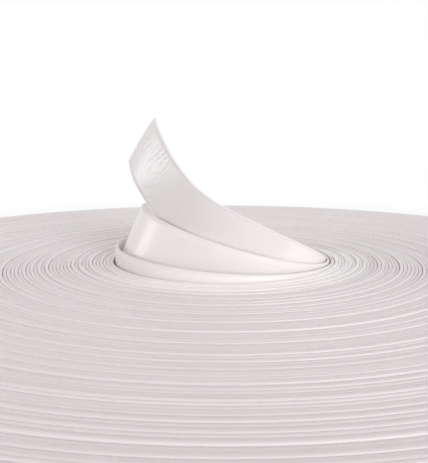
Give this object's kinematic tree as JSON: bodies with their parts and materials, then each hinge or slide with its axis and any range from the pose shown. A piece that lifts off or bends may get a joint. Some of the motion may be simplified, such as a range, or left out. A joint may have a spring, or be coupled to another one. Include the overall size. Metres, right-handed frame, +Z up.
{
  "type": "tree guard tube",
  "caption": "Flat coreless coil of white lay-flat tree guard tube, standing on its folded edges, with its inner turns pulled up out of the eye and a free cut end.",
  "frame": {"origin": "on the floor, at the axis of the coil's eye", "axes": "+Z up along the axis of the coil, +X towards the side where the inner turns leave the pack, -Y towards the front"},
  "size_m": [0.5999, 0.5987, 0.1351],
  "materials": {
    "wound_tube": "satin",
    "lifted_tube": "satin"
  },
  "bodies": {
    "pack": {"wound_band_01": "wound_tube", "wound_band_02": "wound_tube", "wound_band_03": "wound_tube", "wound_band_04": "wound_tube", "wound_band_05": "wound_tube", "wound_band_06": "wound_tube", "wound_band_07": "wound_tube", "wound_band_08": "wound_tube", "wound_band_09": "wound_tube", "wound_band_10": "wound_tube", "wound_band_11": "wound_tube", "wound_band_12": "wound_tube", "wound_band_13": "wound_tube", "wound_band_14": "wound_tube", "wound_band_15": "wound_tube", "wound_band_16": "wound_tube"},
    "first_turn": {"first_lifted_turn": "lifted_tube"},
    "second_turn": {"second_lifted_turn": "lifted_tube"},
    "free_part": {"free_turn": "lifted_tube"},
    "tail": {"cut_end": "lifted_tube"}
  },
  "joints": [
    {"name": "first_lift", "type": "hinge", "parent": "pack", "child": "first_turn", "pos_m": [0.07585, 0, 0.041], "axis": [0, 1, 0], "range_deg": [0, 3]},
    {"name": "second_lift", "type": "hinge", "parent": "first_turn", "child": "second_turn", "pos_m": [0.07295, 0, 0.04095], "axis": [0, 1, 0], "range_deg": [-4, 12]},
    {"name": "free_lift", "type": "hinge", "parent": "second_turn", "child": "free_part", "pos_m": [0.07005, 0, 0.04073], "axis": [0, 1, 0], "range_deg": [0, 14]},
    {"name": "tail_bend", "type": "hinge", "parent": "free_part", "child": "tail", "pos_m": [-0.00526, -0.06014, 0.06739], "axis": [0.4619, -0.3171, 0.8283], "range_deg": [-20, 0]}
  ]
}
